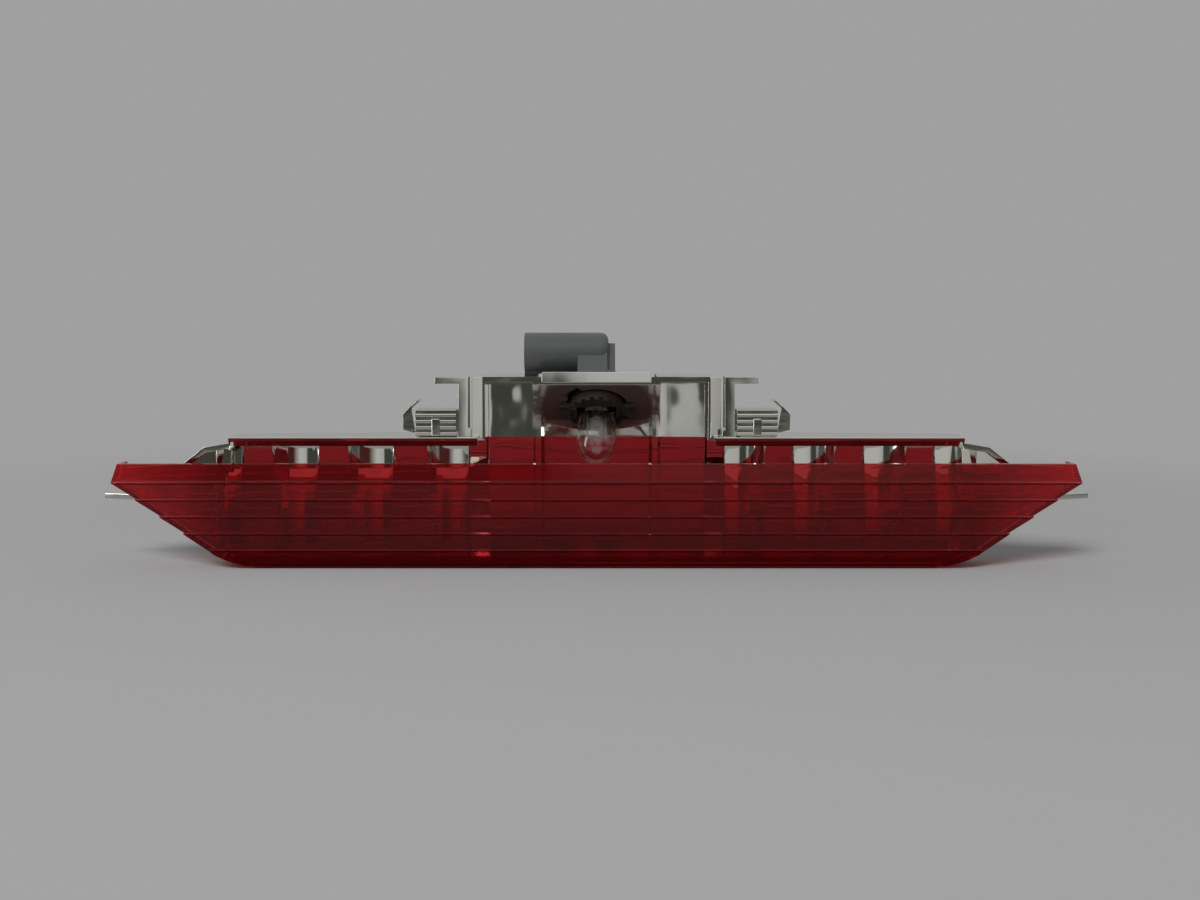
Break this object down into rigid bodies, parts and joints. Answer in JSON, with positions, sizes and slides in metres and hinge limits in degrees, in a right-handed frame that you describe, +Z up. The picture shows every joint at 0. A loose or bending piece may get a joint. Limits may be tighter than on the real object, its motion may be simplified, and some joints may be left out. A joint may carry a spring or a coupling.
{
  "type": "third brake light",
  "caption": "Long boat-shaped red stop lamp lens on a mirror-coated reflector housing with a central bulb box, twist-lock bulb holder, panel hooks and spring clips.",
  "frame": {"origin": "on the underside of the housing floor, in the middle of the width, 20 mm behind the lens front", "axes": "+X along the lamp to the right seen from the lens side, +Y from the lens to the back, +Z up"},
  "size_m": [0.375, 0.0478, 0.0868],
  "materials": {
    "red_acrylic": "transparent deep red moulded acrylic, polished",
    "metallised_plastic": "vacuum-metallised mirror coat on moulded plastic",
    "grey_plastic": "moulded mid-grey PBT, fine satin",
    "black_rubber": "matte moulded rubber",
    "clear_glass": "clear blown glass",
    "nickel_wire": "drawn nickel-iron wire",
    "tungsten": "dull drawn tungsten",
    "tinned_brass": "stamped tinned brass",
    "spring_steel": "zinc-plated spring steel strip"
  },
  "bodies": {
    "lamp": {"lens": "red_acrylic", "bulb_box": "metallised_plastic", "reflector_wing_left": "metallised_plastic", "reflector_wing_right": "metallised_plastic", "panel_hook_left": "metallised_plastic", "panel_hook_right": "metallised_plastic", "clip_left": "spring_steel", "clip_right": "spring_steel"},
    "bulb_holder": {"socket_body": "grey_plastic", "socket_gasket": "black_rubber", "terminal_front": "tinned_brass", "terminal_back": "tinned_brass", "bulb_glass": "clear_glass", "bulb_filament": "tungsten", "bulb_lead_left": "nickel_wire", "bulb_lead_right": "nickel_wire", "bulb_contact_front": "nickel_wire", "bulb_contact_back": "nickel_wire"},
    "leg_left": {"clip_leg_left": "spring_steel"},
    "leg_right": {"clip_leg_right": "spring_steel"}
  },
  "joints": [
    {"name": "holder_twist", "type": "hinge", "parent": "lamp", "child": "bulb_holder", "pos_m": [0, 0.0057, 0.06079], "axis": [0, 0.6157, 0.788], "range_deg": [0, 45]},
    {"name": "clip_flex_left", "type": "hinge", "parent": "lamp", "child": "leg_left", "pos_m": [-0.0679, -0.007, 0.0505], "axis": [0, 1, 0], "range_deg": [0, 10], "stiffness_Nm_per_rad": 0.6},
    {"name": "clip_flex_right", "type": "hinge", "parent": "lamp", "child": "leg_right", "pos_m": [0.0679, -0.007, 0.0505], "axis": [0, -1, 0], "range_deg": [0, 10], "stiffness_Nm_per_rad": 0.6}
  ]
}
